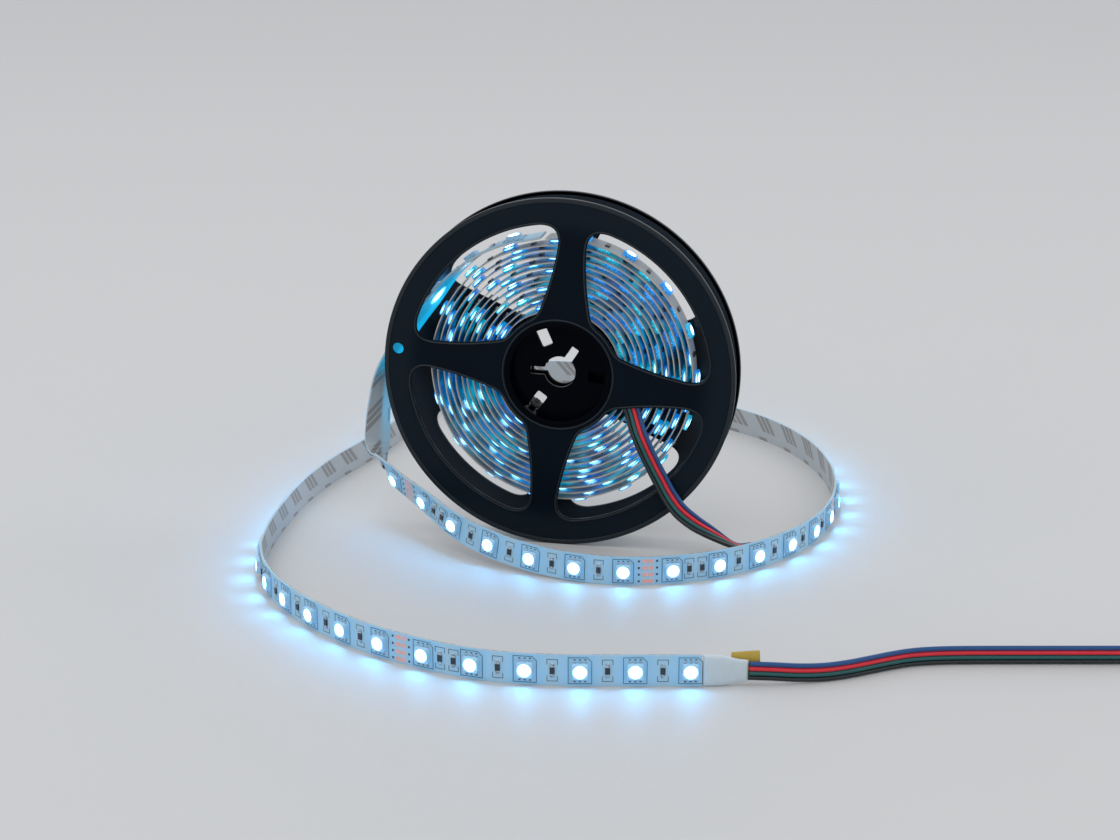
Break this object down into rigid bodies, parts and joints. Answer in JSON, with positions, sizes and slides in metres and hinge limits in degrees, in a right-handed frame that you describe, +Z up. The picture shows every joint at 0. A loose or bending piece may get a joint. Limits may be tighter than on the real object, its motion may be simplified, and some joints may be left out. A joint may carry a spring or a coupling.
{
  "type": "led strip light reel",
  "caption": "Slim open-spoked spool of LED strip light, partly unwound, with the free strip standing on edge in a loop round it and a flat ribbon lead at each end.",
  "frame": {"origin": "on the floor, under the middle of the box round the reel and the strip without the leads", "axes": "+Z up; the reel's axis is along Y and its front face looks along -Y; the outer lead runs off towards +X"},
  "size_m": [0.3398, 0.33, 0.125],
  "materials": {
    "black_plastic": "satin",
    "rolled_strip": "satin",
    "strip_white": "satin",
    "sleeve_white": "satin",
    "amber_tape": "semi-gloss film",
    "tinned_copper": "tinned strands",
    "wire_blue": "satin",
    "wire_red": "satin",
    "wire_green": "satin",
    "wire_black": "satin"
  },
  "bodies": {
    "root": {"front_flange": "black_plastic", "rear_flange": "black_plastic", "wound_strip": "rolled_strip", "strip_section_1": "strip_white", "strip_section_2": "strip_white", "outer_end_sleeve": "sleeve_white", "inner_end_sleeve": "sleeve_white", "tape_tab": "amber_tape", "outer_lead_blue": "wire_blue", "outer_tip_blue": "tinned_copper", "outer_lead_red": "wire_red", "outer_tip_red": "tinned_copper", "outer_lead_green": "wire_green", "outer_tip_green": "tinned_copper", "outer_lead_black": "wire_black", "outer_tip_black": "tinned_copper", "inner_lead_blue": "wire_blue", "inner_tip_blue": "tinned_copper", "inner_lead_red": "wire_red", "inner_tip_red": "tinned_copper", "inner_lead_green": "wire_green", "inner_tip_green": "tinned_copper", "inner_lead_black": "wire_black", "inner_tip_black": "tinned_copper"}
  },
  "joints": []
}
